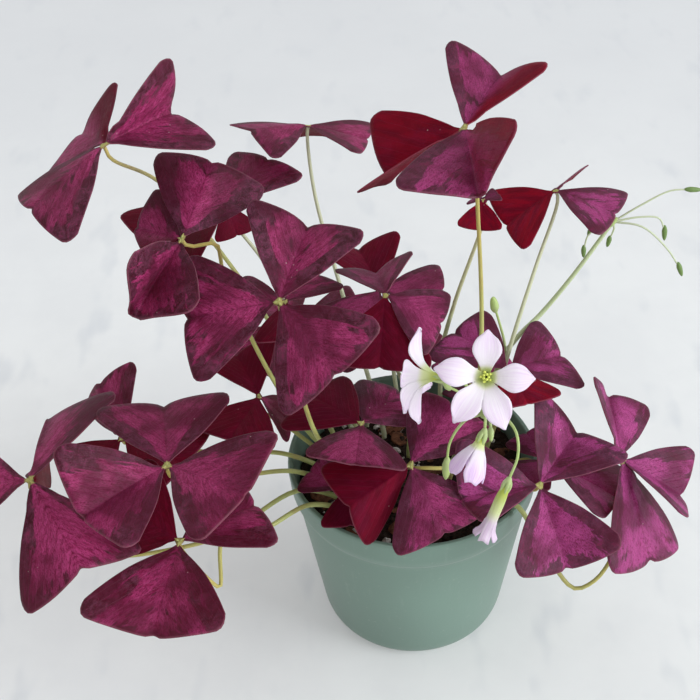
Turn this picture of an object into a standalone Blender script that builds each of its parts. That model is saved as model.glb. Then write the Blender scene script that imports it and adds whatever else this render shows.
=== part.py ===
"""A purple shamrock, Oxalis triangularis, in bloom in a round plastic nursery pot.

Each leaf is a thin petiole that rises from a hole in the soil and a blade of three wedge-shaped leaflets.
The origin is the centre of the pot's flat base, +Z is up and the front of the plant faces -Y.
Leaves, stems and flowers are placed in millimetres and built in metres.
"""
import math

import bmesh
import bpy
import numpy as np

MM = 0.001

RIM_R = 57.0
RIM_Z = 92.0
RIM_BAND = 15.5
LIP = 2.5
WALL = 2.0
BASE_R = 41.5
FOOT_ROUND = 4.0
FLOOR = 2.4
DRAIN_HOLES = 6
DRAIN_R = 4.0
DRAIN_RING_R = 26.0
POT_STEPS = 48

SOIL_Z = 80.0
SOIL_GAP = 0.3
SOIL_BUMP = 1.1
HOLE_DEPTH = 8.0
STEM_GAP = 0.3

BLADE = 0.6
LEAFLET_HALF = 39.0
PETIOLE_FOOT_R = 1.25
PETIOLE_TOP_R = 0.75
PETAL = 0.7

# Each leaf: root on the soil (x, y), points its petiole passes through, hub (x, y, z), leaflet length,
# and three leaflets (compass of the midrib, rise of the midrib, lift of its left and right halves, scale).
LEAVES = [
    ((-21, -7), [(-33, -16, 104), (-43, -21, 128)], (-54, -25, 202), 44,
     [(70, 22, 35, 12), (180, -8, -40, 35), (309, -23, 45, -40)]),
    ((-31, -13), [(-52, -16, 99.5), (-78, -34, 116)], (-101, -60, 149), 45,
     [(97, -2, 5, 6, 1.05), (221, 3, 6, 50, 1.05), (325, 11, 20, -2, 1.05)]),
    ((-24, -30), [(-46, -35, 98), (-66, -50, 100), (-80.5, -58.5, 107), (-83.5, -61.5, 104),
                  (-85.2, -68, 84.5), (-87.5, -70, 89)],
     (-98, -75, 121), 47,
     [(259, -7, 19, 15, 1.07), (28, 8, -5, 0, 0.85), (146, 8, -60, 25, 0.86)]),
    ((-29, -22), [(-51, -26, 98), (-82, -42, 90), (-102, -46, 86), (-140, -50, 88)], (-157, -58, 142), 52,
     [(303, -17, -25, -40), (91, -8, -84, 22, 1.08), (181, -5, -10, 10)]),
    ((9, -24), [(14, -30, 104), (13.5, -36.5, 118), (6, -37, 119.5)], (-3, -35, 120), 38,
     [(300, -32, 10, -20), (49, 28, -15, -20), (213, -8, -70, 12)]),
    ((-13, -7), [(-17, -10, 105)], (-23, -15, 126), 36,
     [(264, 12, -6, 10), (54, -5, -5, -20), (136, 0, -10, -5)]),
    ((30, -18), [(39, -26, 97)], (52, -40, 110), 43,
     [(56, 5, 45, 0), (192, 5, 20, 48, 0.95), (287, -32, 30, 20)]),
    ((27, -27), [(42, -38, 97), (54, -47, 79), (68, -56, 61), (76, -56, 65), (83, -51, 71), (89, -40, 78),
                 (94.5, -29, 87), (94, -21.5, 98)],
     (91, -20, 104), 50,
     [(92, 19, 63, -30, 0.77), (345, -29, 26, 23, 0.76), (288, -41, -40, 36, 1.08)]),
    ((38, -8), [(50, -11, 97)], (60, -14, 99), 34,
     [(332, -14, -10, 20, 1.15), (120, 12, 0, 0, 0.6), (225, 8, 0, 0, 0.6)]),
    ((27, 4), [(30, 4, 150), (27, 7, 215)], (20, 5, 260), 47,
     [(60, 12, 32, 30, 0.87), (165, -41, 26, 44, 1.02), (272, -2, 64, 8, 1.07)]),
    ((34, 14), [(46, 22, 140), (56, 34, 170)], (65, 50, 200), 33,
     [(59, -12, -51, 51, 0.62), (193, -31, -5, 22, 0.93), (332, -7, -4, 3)]),
    ((15, 30), [(16, 39, 120), (21, 38, 148)], (31.5, 31, 209), 16,
     [(258, -30, 10, 10), (20, 12, 0, 0, 0.5), (140, -18, 0, 0, 0.45)]),
    ((-33, 14), [(-48, 30, 112), (-74, 56, 150), (-104, 61, 200)], (-119, 10, 255), 44,
     [(50, -3, 98, -11), (116, -18, -35, 43, 0.96), (213, -23, -7, -19)]),
    ((-30, 4), [(-44, 6, 98), (-62, 6, 138), (-77.5, 3.6, 196), (-78.2, 3.2, 207), (-79.2, 2.8, 211.5)],
     (-92, 0, 216), 41,
     [(67, 33, 1, -36, 1.02), (143, -6, -94, 37, 0.74), (246, -10, 22, 96, 1.2)]),
    ((-26, 24), [(-46, 36, 125), (-62, 48, 165)], (-78.5, 50, 199), 38,
     [(51, 17, -9, 1, 0.94), (219, -4, 12, 6, 1.2), (300, -50, 0, 0, 0.45)]),
    ((-12, 24), [(-30, 52, 150), (-40, 74, 186)], (-42, 90, 213), 31,
     [(210, 16, -9, -16, 1.12), (349, -8, -9, 12, 1.04), (92, -40, -10, -10, 0.8)]),
    ((-1, 11), [(1, 17, 110), (0, 17, 130)], (-11, 10, 177), 37,
     [(97, -14, 14, 30, 0.85), (343, -22, 5, -15, 0.85), (261, -38, 0, 0)]),
    ((-4, 32), [(-8, 42, 120)], (-12, 50, 149), 34,
     [(108, 10, 20, 20), (0, 0, 0, 0), (240, 0, 0, 0)]),
    ((30, -4), [(38, 2, 110)], (43, 8, 134), 36,
     [(138, 14, 0, 0), (28, -6, 21, -10, 0.95), (285, 2, 0, 0, 0.75)]),
    ((-22, -18), [(-28, -22, 92)], (-31, -27, 99), 21,
     [(275, -14, 0, 0), (150, 10, 0, 0), (35, 0, 0, 0)]),
    ((-37, -3), [(-57, -4, 99), (-90, -6, 104)], (-128, -10, 118), 38,
     [(114, 26, -70, 44, 0.9), (218, -12, 0, 0, 0.8), (330, 0, 0, 0)]),
    ((-38, 6), [(-52, 8, 100)], (-68, 10, 122), 34,
     [(115, 15, 20, 20, 0.9), (245, 0, 0, 0), (0, -50, 0, 0, 0.7)]),
    ((-20, 14), [(-40, 22, 125)], (-54, 20, 167), 28,
     [(60, 0, 0, 0), (165, 0, 0, 0), (280, 0, 0, 0)]),
    ((24, 26), [(27, 32, 90)], (30, 38, 99), 30,
     [(20, -5, 10, 10), (120, 15, 10, 10, 0.7), (235, 5, 10, 0, 0.5)]),
    ((2, 40), [(-5, 56, 98)], (-10, 72, 106), 36,
     [(85, -20, 15, 15), (205, -5, 15, 5), (320, -5, 5, 15, 0.8)]),
    ((-20, 33), [(-38, 47, 101)], (-52, 68, 116), 40,
     [(120, -10, 15, 15), (225, -5, 10, 5), (10, 5, 5, 10, 0.9)]),
]

collection = bpy.data.collections.new("purple_shamrock")
cutters = bpy.data.collections.new("cutters")


def clear_scene():
    for obj in list(bpy.data.objects):
        bpy.data.objects.remove(obj)
    bpy.context.scene.collection.children.link(collection)
    bpy.context.scene.collection.children.link(cutters)
    cutters.hide_render = True


def material(name, color, roughness, sheen=0.0):
    made = bpy.data.materials.new(name)
    made.use_nodes = True
    shader = made.node_tree.nodes["Principled BSDF"]
    shader.inputs["Base Color"].default_value = (*color, 1)
    shader.inputs["Roughness"].default_value = roughness
    shader.inputs["Sheen Weight"].default_value = sheen
    made.diffuse_color = (*color, 1)
    return made


def mesh_object(name, points, faces, look, edges=()):
    mesh = bpy.data.meshes.new(name)
    mesh.from_pydata([tuple(p) for p in np.asarray(points) * MM], list(edges), faces)
    mesh.materials.append(look)
    obj = bpy.data.objects.new(name, mesh)
    collection.objects.link(obj)
    return obj


def as_cutter(obj):
    for owner in list(obj.users_collection):
        owner.objects.unlink(obj)
    cutters.objects.link(obj)
    obj.hide_render = True
    obj.display_type = "WIRE"
    return obj


def unit(vector):
    return vector / np.linalg.norm(vector)


def wall_r(z):
    """Outer radius of the pot's tapered wall between the foot and the rim band."""
    return 43.2 + (z - 6.0) * 0.1465


def screw(name, profile, look):
    """A solid of revolution about Z from a profile that runs down its outer side."""
    edges = [(i, i + 1) for i in range(len(profile) - 1)]
    obj = mesh_object(name, [(x, 0, z) for x, z in profile], [], look, edges)
    turn = obj.modifiers.new("turn", "SCREW")
    turn.steps = POT_STEPS
    turn.render_steps = POT_STEPS
    turn.use_merge_vertices = True
    turn.merge_threshold = 0.00005
    return obj


def pot(look):
    shell = screw("pot", [
        (0, FLOOR),
        (40.0, FLOOR),
        (wall_r(6) - WALL, 6),
        (wall_r(40) - WALL, 40),
        (wall_r(74) - WALL, 74),
        (RIM_R - LIP - 1.4, 80),
        (RIM_R - LIP, RIM_Z - 1.0),
        (RIM_R - LIP + 0.6, RIM_Z),
        (RIM_R - 0.7, RIM_Z),
        (RIM_R, RIM_Z - 0.9),
        (RIM_R - 1.0, RIM_Z - RIM_BAND + 3.5),
        (RIM_R - 1.7, RIM_Z - RIM_BAND + 1.5),
        (wall_r(76), RIM_Z - RIM_BAND - 1.0),
        (wall_r(60), 60),
        (wall_r(30), 30),
        (wall_r(FOOT_ROUND + 4), FOOT_ROUND + 4),
        (BASE_R, 3.0),
        (BASE_R - 1.3, 0.9),
        (BASE_R - 3.2, 0),
        (0, 0),
    ], look)
    drill = bmesh.new()
    for i in range(DRAIN_HOLES):
        around = 2 * math.pi * i / DRAIN_HOLES
        made = bmesh.ops.create_cone(drill, cap_ends=True, segments=12, radius1=DRAIN_R * MM,
                                     radius2=DRAIN_R * MM, depth=8 * MM)
        shift = (DRAIN_RING_R * math.cos(around) * MM, DRAIN_RING_R * math.sin(around) * MM, 0)
        bmesh.ops.translate(drill, verts=made["verts"], vec=shift)
    mesh = bpy.data.meshes.new("drain_drill")
    drill.to_mesh(mesh)
    drill.free()
    cutter = bpy.data.objects.new("drain_drill", mesh)
    cutters.objects.link(cutter)
    as_cutter(cutter)
    cut = shell.modifiers.new("drain", "BOOLEAN")
    cut.operation = "DIFFERENCE"
    cut.solver = "EXACT"
    cut.object = cutter
    return shell


def soil_top(x, y):
    """Height of the lumpy top of the potting mix."""
    bump = math.sin(0.31 * x + 1.3) * math.cos(0.27 * y - 0.4) + 0.6 * math.sin(0.53 * x - 0.41 * y)
    return SOIL_Z + SOIL_BUMP * 0.6 * bump


def soil(look, stems):
    around = [2 * math.pi * i / POT_STEPS for i in range(POT_STEPS)]
    side = [(40.0 - SOIL_GAP - 0.4, FLOOR + SOIL_GAP),
            (wall_r(6) - WALL - SOIL_GAP, 6.1),
            (wall_r(74) - WALL - SOIL_GAP, 74)]
    points = [(0, 0, FLOOR + SOIL_GAP)]
    rings = []
    for r, z in side:
        rings.append([len(points) + i for i in range(POT_STEPS)])
        points += [(r * math.cos(a), r * math.sin(a), z) for a in around]
    for r in (51.6, 42, 31, 20, 10):
        rings.append([len(points) + i for i in range(POT_STEPS)])
        spots = [(r * math.cos(a), r * math.sin(a)) for a in around]
        lift = 1.0 if r < 50 else 0.0
        points += [(x, y, SOIL_Z - 1.4 + lift * (1.4 + soil_top(x, y) - SOIL_Z)) for x, y in spots]
    points.append((0, 0, soil_top(0, 0)))
    faces = []
    for i in range(POT_STEPS):
        j = (i + 1) % POT_STEPS
        faces.append((0, rings[0][j], rings[0][i]))
        for low, high in zip(rings, rings[1:]):
            faces.append((low[i], low[j], high[j], high[i]))
        faces.append((rings[-1][i], rings[-1][j], len(points) - 1))
    body = mesh_object("soil", points, faces, look)
    drill = bmesh.new()
    for x, y, r in stems:
        made = bmesh.ops.create_cone(drill, cap_ends=True, segments=6, radius1=(r + STEM_GAP) * 1.16 * MM,
                                     radius2=(r + STEM_GAP) * 1.16 * MM, depth=(HOLE_DEPTH + 6) * MM)
        middle = SOIL_Z - HOLE_DEPTH + (HOLE_DEPTH + 6) / 2
        bmesh.ops.translate(drill, verts=made["verts"], vec=(x * MM, y * MM, middle * MM))
    mesh = bpy.data.meshes.new("stem_drill")
    drill.to_mesh(mesh)
    drill.free()
    cutter = bpy.data.objects.new("stem_drill", mesh)
    cutters.objects.link(cutter)
    as_cutter(cutter)
    cut = body.modifiers.new("stem_holes", "BOOLEAN")
    cut.operation = "DIFFERENCE"
    cut.solver = "EXACT"
    cut.object = cutter
    return body


def lobe_reach(q):
    """How far a leaflet reaches at a share q of the way from notch to side, as a share of its length."""
    return 0.865 + 0.09 * q + 0.10 * q ** 2 - 0.15 * max(0.0, (q - 0.80) / 0.20) ** 2.2


def leaflet(length, heading, rise, left, right, scale=1.0):
    """Points of one wedge leaflet about its hub, in rows from the hub out, each from right to left."""
    size = length * scale
    h, e = math.radians(heading), math.radians(rise)
    along = np.array([math.cos(e) * math.cos(h), math.cos(e) * math.sin(h), math.sin(e)])
    side = np.array([-math.sin(h), math.cos(h), 0])
    up = np.cross(along, side)
    rows = []
    for s, spread in ((2.2 / size, 0.6), (0.5, 1.06), (1.0, 1.0)):
        opened = min(1.0, max(0.0, (s - 0.04) / 0.2))
        lifts = {1: math.radians(left) * opened, -1: math.radians(right) * opened}
        row = []
        for t in (-1, -0.86, -0.45, 0, 0.45, 0.86, 1):
            turn = abs(t) * math.radians(LEAFLET_HALF) * spread
            reach = s * lobe_reach(abs(t)) * size
            u, v = reach * math.cos(turn), reach * math.sin(turn)
            hand = 1 if t >= 0 else -1
            across = hand * math.cos(lifts[hand]) * side + math.sin(lifts[hand]) * up
            droop = -0.05 * size * (u / size) ** 2 * up
            row.append(u * along + v * across + droop)
        rows.append(row)
    return rows


def blade(name, hub, length, leaflets, look):
    """Three leaflets fanned round a small hub, as one thick sheet. Returns the hub's place and its normal."""
    hub = np.array(hub, float)
    fans = [leaflet(length, *spec) for spec in sorted(leaflets, key=lambda spec: spec[0])]
    base = [fan[0][3] for fan in fans]
    normal = unit(np.cross(base[1] - base[0], base[2] - base[0]))
    middle = sum(base) / 3
    points = [middle]
    faces = []
    ring = []
    for fan in fans:
        start = len(points)
        width = len(fan[0])
        for row in fan:
            points += row
        ring += [start + i for i in range(width)]
        for r in range(len(fan) - 1):
            for c in range(width - 1):
                a = start + r * width + c
                b = a + width
                if c < width // 2:
                    faces += [(a, b, b + 1), (a, b + 1, a + 1)]
                else:
                    faces += [(a, b, a + 1), (a + 1, b, b + 1)]
    for i in range(len(ring)):
        faces.append((0, ring[i], ring[(i + 1) % len(ring)]))
    obj = mesh_object(name, [hub + p for p in points], faces, look)
    thick = obj.modifiers.new("thickness", "SOLIDIFY")
    thick.thickness = BLADE * MM
    thick.offset = 0
    return hub + middle, normal


def smooth_path(points, pieces, lead=None):
    """A smooth line through the points, cut into equal pieces. It sets off along lead, if that is given."""
    p = np.array(points, float)
    before = 2 * p[0] - p[1] if lead is None else p[0] - np.array(lead, float)
    p = np.vstack([before, p, 2 * p[-1] - p[-2]])
    knots = np.concatenate([[0], np.cumsum(np.linalg.norm(np.diff(p, axis=0), axis=1) ** 0.5)])
    line = []
    for i in range(1, len(p) - 2):
        t0, t1, t2, t3 = knots[i - 1:i + 3]
        for t in np.linspace(t1, t2, 16, endpoint=False):
            a1 = (t1 - t) / (t1 - t0) * p[i - 1] + (t - t0) / (t1 - t0) * p[i]
            a2 = (t2 - t) / (t2 - t1) * p[i] + (t - t1) / (t2 - t1) * p[i + 1]
            a3 = (t3 - t) / (t3 - t2) * p[i + 1] + (t - t2) / (t3 - t2) * p[i + 2]
            b1 = (t2 - t) / (t2 - t0) * a1 + (t - t0) / (t2 - t0) * a2
            b2 = (t3 - t) / (t3 - t1) * a2 + (t - t1) / (t3 - t1) * a3
            line.append((t2 - t) / (t2 - t1) * b1 + (t - t1) / (t2 - t1) * b2)
    line.append(p[-2])
    line = np.array(line)
    run = np.concatenate([[0], np.cumsum(np.linalg.norm(np.diff(line, axis=0), axis=1))])
    return np.array([[np.interp(d, run, line[:, k]) for k in range(3)]
                     for d in np.linspace(0, run[-1], pieces + 1)])


def stem(name, path, foot_r, top_r, look, sides=1):
    """A round tapering stem along a path, as a bevelled curve with closed ends."""
    curve = bpy.data.curves.new(name, "CURVE")
    curve.dimensions = "3D"
    curve.bevel_depth = MM
    curve.bevel_resolution = sides
    curve.use_fill_caps = True
    curve.render_resolution_u = 0
    spline = curve.splines.new("POLY")
    spline.points.add(len(path) - 1)
    for i, at in enumerate(path):
        spline.points[i].co = (*(at * MM), 1)
        spline.points[i].radius = foot_r + (top_r - foot_r) * i / (len(path) - 1)
    curve.materials.append(look)
    obj = bpy.data.objects.new(name, curve)
    collection.objects.link(obj)
    return obj


def rooted(root, points, pieces):
    """A stem's line: straight up out of its hole in the soil, then smoothly through the points."""
    x, y = root
    top = (x, y, SOIL_Z + 3)
    return np.vstack([(x, y, SOIL_Z - HOLE_DEPTH + STEM_GAP), smooth_path([top, *points], pieces, (0, 0, 12))])


def leaves(blade_look, petiole_look):
    for number, (root, via, hub, length, leaflets) in enumerate(LEAVES, 1):
        under, normal = blade(f"leaf_{number:02d}_blade", hub, length, leaflets, blade_look)
        end = under - normal * (BLADE / 2 + STEM_GAP + 0.3)
        path = rooted(root, [*via, under - normal * 5, end], 8 if len(via) < 3 else 11)
        stem(f"leaf_{number:02d}_petiole", path, PETIOLE_FOOT_R, PETIOLE_TOP_R, petiole_look)


def closed_mesh(obj):
    """A bevelled curve turned into a mesh with its caps welded, so that it can be joined."""
    bpy.context.view_layer.update()
    graph = bpy.context.evaluated_depsgraph_get()
    mesh = bpy.data.meshes.new_from_object(obj.evaluated_get(graph))
    work = bmesh.new()
    work.from_mesh(mesh)
    bmesh.ops.remove_doubles(work, verts=work.verts, dist=0.000001)
    bmesh.ops.recalc_face_normals(work, faces=work.faces)
    work.to_mesh(mesh)
    work.free()
    made = bpy.data.objects.new(obj.name + "_solid", mesh)
    made.matrix_world = obj.matrix_world
    bpy.data.objects.remove(obj)
    collection.objects.link(made)
    return made


def drop(name, low, high, radius, look):
    """A bud, calyx or capsule: a small tapered solid from one point to another."""
    low, high = np.array(low, float), np.array(high, float)
    path = [low + (high - low) * s for s in (0, 0.3, 0.7, 1)]
    obj = stem(name, path, 1, 1, look)
    for point, share in zip(obj.data.splines[0].points, (0.45, 1, 0.85, 0.3)):
        point.radius = radius * share
    return obj


def fused(name, pieces, look):
    """Curves joined into one body."""
    solids = [closed_mesh(piece) for piece in pieces]
    whole = solids[0]
    whole.name = name
    whole.data.materials.clear()
    whole.data.materials.append(look)
    for other in solids[1:]:
        as_cutter(other)
        join = whole.modifiers.new("join", "BOOLEAN")
        join.operation = "UNION"
        join.solver = "EXACT"
        join.object = other
    return whole


def corolla(name, mouth, facing, rows, petals, look):
    """Five petals on a short tube. A row is (radius, height, petal half-width, or None where joined)."""
    mouth = np.array(mouth, float)
    n = unit(np.array(facing, float))
    a = unit(np.cross(n, (0.0, 0.0, 1.0)))
    b = np.cross(n, a)
    cols = 5
    throat = [r for r, z, half in rows if half is None][-1]
    turns = [petals[-1][0] - 360, *[turn for turn, reach in petals], petals[0][0] + 360]
    points = [mouth + n * rows[0][1]]
    faces = []
    rings = []
    for r, z, half in rows:
        row = []
        for k, (turn, reach) in enumerate(petals):
            centre = math.radians(turn)
            wide = throat + (r - throat) * reach
            for c in range(cols if half else cols - 1):
                t = -1 + 2 * c / (cols - 1)
                if half is None:
                    beside = turns[k] if t < 0 else turns[k + 2]
                    ang = centre + abs(t) * math.radians(beside - turn) / 2
                    at = r * (math.cos(ang) * a + math.sin(ang) * b) + z * n
                else:
                    out = math.cos(centre) * a + math.sin(centre) * b
                    across = -math.sin(centre) * a + math.cos(centre) * b
                    at = wide * (1 - 0.06 * t * t) * out + half * t * across + (z + 0.09 * half * t * t) * n
                row.append(len(points))
                points.append(mouth + at)
        rings.append((row, half))
    first = rings[0][0]
    for i in range(len(first)):
        faces.append((0, first[i], first[(i + 1) % len(first)]))
    for (low, low_half), (high, high_half) in zip(rings, rings[1:]):
        for k in range(5):
            for c in range(cols - 1):
                if low_half is None:
                    p = low[(k * (cols - 1) + c) % len(low)]
                    q = low[(k * (cols - 1) + c + 1) % len(low)]
                else:
                    p, q = low[k * cols + c], low[k * cols + c + 1]
                if high_half is None:
                    s = high[(k * (cols - 1) + c) % len(high)]
                    u = high[(k * (cols - 1) + c + 1) % len(high)]
                else:
                    s, u = high[k * cols + c], high[k * cols + c + 1]
                faces += [(p, s, q), (q, s, u)] if c >= 2 else [(p, s, u), (p, u, q)]
    obj = mesh_object(name, points, faces, look)
    thick = obj.modifiers.new("thickness", "SOLIDIFY")
    thick.thickness = PETAL * MM
    thick.offset = 0
    return obj


def tube_foot(flower):
    """Where a corolla's tube ends at the back, and the way the flower faces."""
    _, mouth, facing, rows, _ = flower
    n = unit(np.array(facing, float))
    return np.array(mouth, float) + n * (rows[0][1] - PETAL / 2 - STEM_GAP), n


def front_scape(green):
    umbel = (26, -47, 159)
    stalk = rooted((16, -6), [(22, -9, 110), (26, -12, 133), (27, -28, 150), umbel], 9)
    pieces = [stem("scape_1", stalk, 1.5, 1.1, green)]
    pieces.append(drop("knot", (26, -45.5, 156), (26, -48, 162), 1.9, green))
    routes = [
        [(26.5, -48, 168), (25.8, -51, 179)],
        [(22, -44, 167), (16, -46, 176)],
        [(25.6, -54, 166), (24.9, -60, 169.5)],
        [(31, -55, 166), (36.3, -65, 165.5), (36.8, -71, 158.5)],
    ]
    for i, (route, flower) in enumerate(zip(routes, FLOWERS)):
        foot, n = tube_foot(flower)
        line = smooth_path([umbel, *route, foot - n * 3.5], 4)
        pieces.append(stem(f"pedicel_{i}", line, 0.75, 0.6, green, 0))
        pieces.append(drop(f"calyx_{i}", foot - n * 4.6, foot, 1.7, green))
    for i, (route, low, high, radius) in enumerate([
        ([(18, -46, 168)], (12.0, -49.6, 174.6), (9.0, -51.0, 180.6), 1.4),
        ([(27.5, -55, 162)], (27.5, -57.2, 161.2), (27.5, -61, 156.6), 1.3),
        ([(19, -43, 152), (13, -43, 140)], (12.0, -43.9, 132.4), (11.2, -46.2, 121.6), 2.0),
    ]):
        inside = np.array(low) * 0.6 + np.array(high) * 0.4
        pieces.append(stem(f"bud_stalk_{i}", smooth_path([umbel, *route, inside], 4), 0.75, 0.6, green, 0))
        pieces.append(drop(f"bud_{i}", low, high, radius, green))
    return fused("scape_1", pieces, green)


def back_scape(green):
    umbel = (91.7, 50, 182)
    via = [(34, 20, 106), (44, 26, 129), (52, 34, 134), (60, 40, 138), (74, 44, 156)]
    stalk = rooted((21, 14), [*via, umbel], 12)
    pieces = [stem("scape_2", stalk, 1.5, 1.0, green)]
    pieces.append(drop("back_knot", (89.5, 49.6, 179.6), (93.6, 50.4, 184), 1.9, green))
    for i, (route, low, high, radius) in enumerate([
        ([(88.5, 50, 187.5), (84.5, 49, 186)], (82.6, 48.1, 182.6), (80.5, 47.5, 176.5), 1.2),
        ([(87, 48, 181), (81, 47, 178)], (79.1, 47, 172), (79.4, 46.6, 165.5), 1.2),
        ([(92.5, 50, 178.5)], (91.2, 50, 174.5), (90.2, 49.6, 168.6), 1.2),
        ([(104, 51, 190), (116, 52, 196)], (122, 52, 196.5), (130, 52.4, 195.6), 1.3),
        ([(103, 50, 184), (112, 50, 183)], (115, 50, 179), (115.6, 49.7, 171), 1.3),
        ([(104, 47, 181), (116, 45, 170)], (121.6, 44.1, 162.8), (124.2, 43.4, 155.4), 1.3),
        ([], (36, 9, 166), (34.5, 7.5, 175.5), 2.0),
    ]):
        inside = np.array(low) * 0.6 + np.array(high) * 0.4
        start = [umbel, *route] if route else [(44, 26, 129), (41, 17, 146)]
        pieces.append(stem(f"back_stalk_{i}", smooth_path([*start, inside], 5), 0.75, 0.6, green, 0))
        pieces.append(drop(f"back_bud_{i}", low, high, radius, green))
    return fused("scape_2", pieces, green)


OPEN_FLOWER = [(1.2, -10.0, None), (2.3, -5.5, None), (5.6, -1.6, 3.0), (11.5, 0.5, 5.6), (16.5, 0.3, 4.4),
               (20.0, -0.6, 0.9)]
NODDING_FLOWER = [(1.2, -9.0, None), (2.3, -5.5, None), (5.0, -1.0, 2.9), (7.0, 4.0, 4.2), (7.4, 7.4, 2.4)]
SPENT_FLOWER = [(1.2, -14.0, None), (1.9, -9.0, None), (2.1, 2.0, None), (2.7, 7.0, None), (4.9, 10.5, 2.2)]

# Each flower: name, mouth of its tube, the way it faces, rows of its petals, and each petal's turn and reach.
FLOWERS = [
    ("flower_front", (24.2, -62, 191.4), (-0.09, -0.75, 0.65), OPEN_FLOWER,
     [(-7, 1.0), (57, 1.08), (112, 1.07), (180, 0.92), (270, 0.88)]),
    ("flower_side", (-1.0, -46.5, 180.8), (-0.87, 0.46, -0.14), OPEN_FLOWER,
     [(55, 0.75), (105, 1.1), (155, 0.85), (216, 0.75), (290, 0.95)]),
    ("flower_nodding", (19.8, -68.4, 154.7), (-0.38, -0.44, -0.81), NODDING_FLOWER,
     [(10, 1.0), (82, 1.0), (154, 0.9), (226, 1.1), (298, 1.0)]),
    ("flower_spent", (27.6, -78.4, 133.6), (-0.33, -0.2, -0.92), SPENT_FLOWER,
     [(10, 1.0), (82, 1.0), (154, 1.0), (226, 1.0), (298, 1.0)]),
]


def main():
    clear_scene()
    plastic = material("pot_plastic", (0.24, 0.34, 0.29), 0.5)
    mix = material("potting_mix", (0.025, 0.016, 0.012), 0.95)
    purple = material("leaf_purple", (0.22, 0.015, 0.08), 0.55, 0.3)
    stalk = material("petiole_green", (0.42, 0.46, 0.17), 0.45)
    green = material("scape_green", (0.36, 0.48, 0.14), 0.45)
    lilac = material("petal_lilac", (0.85, 0.74, 0.86), 0.5, 0.2)
    pot(plastic)
    holes = [(*leaf[0], PETIOLE_FOOT_R) for leaf in LEAVES]
    soil(mix, [*holes, (16, -6, 1.5), (21, 14, 1.5)])
    leaves(purple, stalk)
    front_scape(green)
    back_scape(green)
    for flower in FLOWERS:
        corolla(*flower, lilac)


main()
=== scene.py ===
"""A potted purple shamrock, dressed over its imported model.

The sections follow the plant as it is put together: pot, potting mix, blades, petioles, flower stalks,
flowers, stamens. Sizes are in millimetres unless they are multiplied by MM.
"""

import math
import random

import bmesh
import bpy
import numpy as np
from mathutils import Matrix


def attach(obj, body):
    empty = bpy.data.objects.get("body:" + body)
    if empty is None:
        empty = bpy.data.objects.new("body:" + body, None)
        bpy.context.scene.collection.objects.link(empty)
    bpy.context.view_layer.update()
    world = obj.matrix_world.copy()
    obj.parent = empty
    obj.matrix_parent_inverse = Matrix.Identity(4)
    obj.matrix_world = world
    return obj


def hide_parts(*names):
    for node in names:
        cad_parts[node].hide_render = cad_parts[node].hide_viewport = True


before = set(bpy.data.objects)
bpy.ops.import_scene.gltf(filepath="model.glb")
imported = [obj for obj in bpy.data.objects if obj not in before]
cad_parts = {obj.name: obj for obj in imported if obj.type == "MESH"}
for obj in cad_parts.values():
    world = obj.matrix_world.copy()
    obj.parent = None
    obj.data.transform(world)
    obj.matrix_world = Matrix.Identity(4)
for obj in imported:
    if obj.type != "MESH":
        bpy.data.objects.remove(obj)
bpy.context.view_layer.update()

# The pot is one thin moulding of sage green plastic, matt with a soft bloom, tapered, with a rounded
# rim band and six drain holes in its floor. It is turned here from its profile about the upright axis.
MM = 0.001
POT_TURNS = 144
# Each point of the profile has its radius, height and the size of its rounded corner.
POT_PROFILE = [
    (0, 2.4, 0), (40.0, 2.4, 1.5), (41.6, 8, 0), (51.2, 74, 3), (53.1, 79.6, 2), (54.4, 91.2, 0.5),
    (55.0, 92.0, 0.3), (56.5, 92.0, 0.5), (57.0, 90.8, 0.6), (56.1, 80.2, 2.0), (55.0, 77.2, 1.6),
    (53.7, 75.4, 1.8), (53.2, 72, 6), (43.3, 7, 3), (42.0, 3.4, 2), (39.2, 0, 1.8), (0, 0, 0),
]
POT_GREEN = (0.155, 0.245, 0.200)
CORNER_STEPS = 4
SHARP_ANGLE = 38
DRAIN_HOLES, DRAIN_RADIUS, DRAIN_RING, DRAIN_DEPTH, DRAIN_SIDES = 6, 4.0, 26.0, 9.0, 28


def new_finish(name, roughness, specular):
    """A new material, its node tree and its main shader."""
    finish = bpy.data.materials.new(name)
    finish.use_nodes = True
    shader = finish.node_tree.nodes["Principled BSDF"]
    shader.inputs["Roughness"].default_value = roughness
    shader.inputs["Specular IOR Level"].default_value = specular
    return finish, finish.node_tree, shader


def node(tree, kind, feeds=(), **settings):
    """A shader node with its settings, and each input either fed from a socket or set to a value."""
    made = tree.nodes.new("ShaderNode" + kind)
    for key, value in settings.items():
        setattr(made, key, value)
    for socket, value in dict(feeds).items():
        if isinstance(value, bpy.types.NodeSocket):
            tree.links.new(value, made.inputs[socket])
        else:
            made.inputs[socket].default_value = value
    return made


def place(tree):
    """A point's place on the object, in metres."""
    return node(tree, "TexCoord").outputs["Object"]


def mottle(tree, spot, scale, detail=4.0, rough=0.55, twist=0.0):
    """Cloudy noise from 0 to 1."""
    feeds = {"Vector": spot, "Scale": scale, "Detail": detail, "Roughness": rough, "Distortion": twist}
    return node(tree, "TexNoise", feeds).outputs["Fac"]


def calc(tree, how, *values):
    """One step of arithmetic on sockets or numbers."""
    return node(tree, "Math", dict(enumerate(values)), operation=how).outputs[0]


def ease(tree, value, low, high, start=0.0, end=1.0):
    """A soft step from start to end, as the value goes from low to high."""
    feeds = {"Value": value, "From Min": low, "From Max": high, "To Min": start, "To Max": end}
    return node(tree, "MapRange", feeds, interpolation_type="SMOOTHSTEP").outputs[0]


def tint(tree, share, first, second):
    """Two colours mixed by a share, which is 0 for all of the first."""
    first, second = [(*colour, 1) if isinstance(colour, tuple) else colour for colour in (first, second)]
    return node(tree, "Mix", {0: share, 6: first, 7: second}, data_type="RGBA").outputs[2]


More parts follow.
